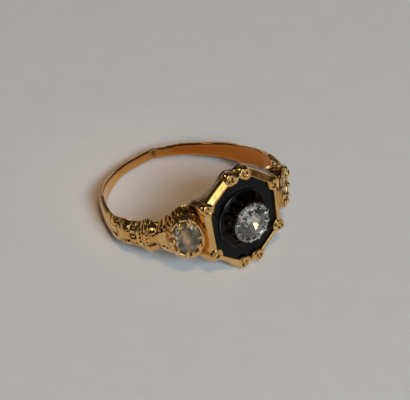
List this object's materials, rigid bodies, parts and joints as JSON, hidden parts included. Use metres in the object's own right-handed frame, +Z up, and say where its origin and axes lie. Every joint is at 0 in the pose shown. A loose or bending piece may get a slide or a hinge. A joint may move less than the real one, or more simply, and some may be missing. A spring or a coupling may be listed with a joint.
{
  "type": "gold mourning ring with black plate and stones",
  "caption": "Finger ring: thin gold hoop with carved shoulders, a lobed bezel with a glossy black plate, a stone in a dark silver collet, and a small stone on each shoulder.",
  "frame": {"origin": "on the surface that the ring rests on, under the middle of its bounding box", "axes": "+Z up, -Y towards the side that the bezel faces, +X to the right seen from the bezel. The ring lies leaned back, as it rests by itself: its axis is tipped by about 16 degrees from +Z towards +Y"},
  "size_m": [0.0186, 0.0202, 0.011],
  "materials": {
    "gold": "polished yellow gold, worn",
    "black_plate": "glossy black",
    "dark_silver": "tarnished silver with bright worn edges",
    "clear_stone": "faceted, clear",
    "grey_stone": "faceted, greyish"
  },
  "bodies": {
    "root": {"gold_mount": "gold", "black_plate": "black_plate", "centre_collet": "dark_silver", "centre_stone": "clear_stone", "left_stone": "grey_stone", "right_stone": "grey_stone"}
  },
  "joints": []
}
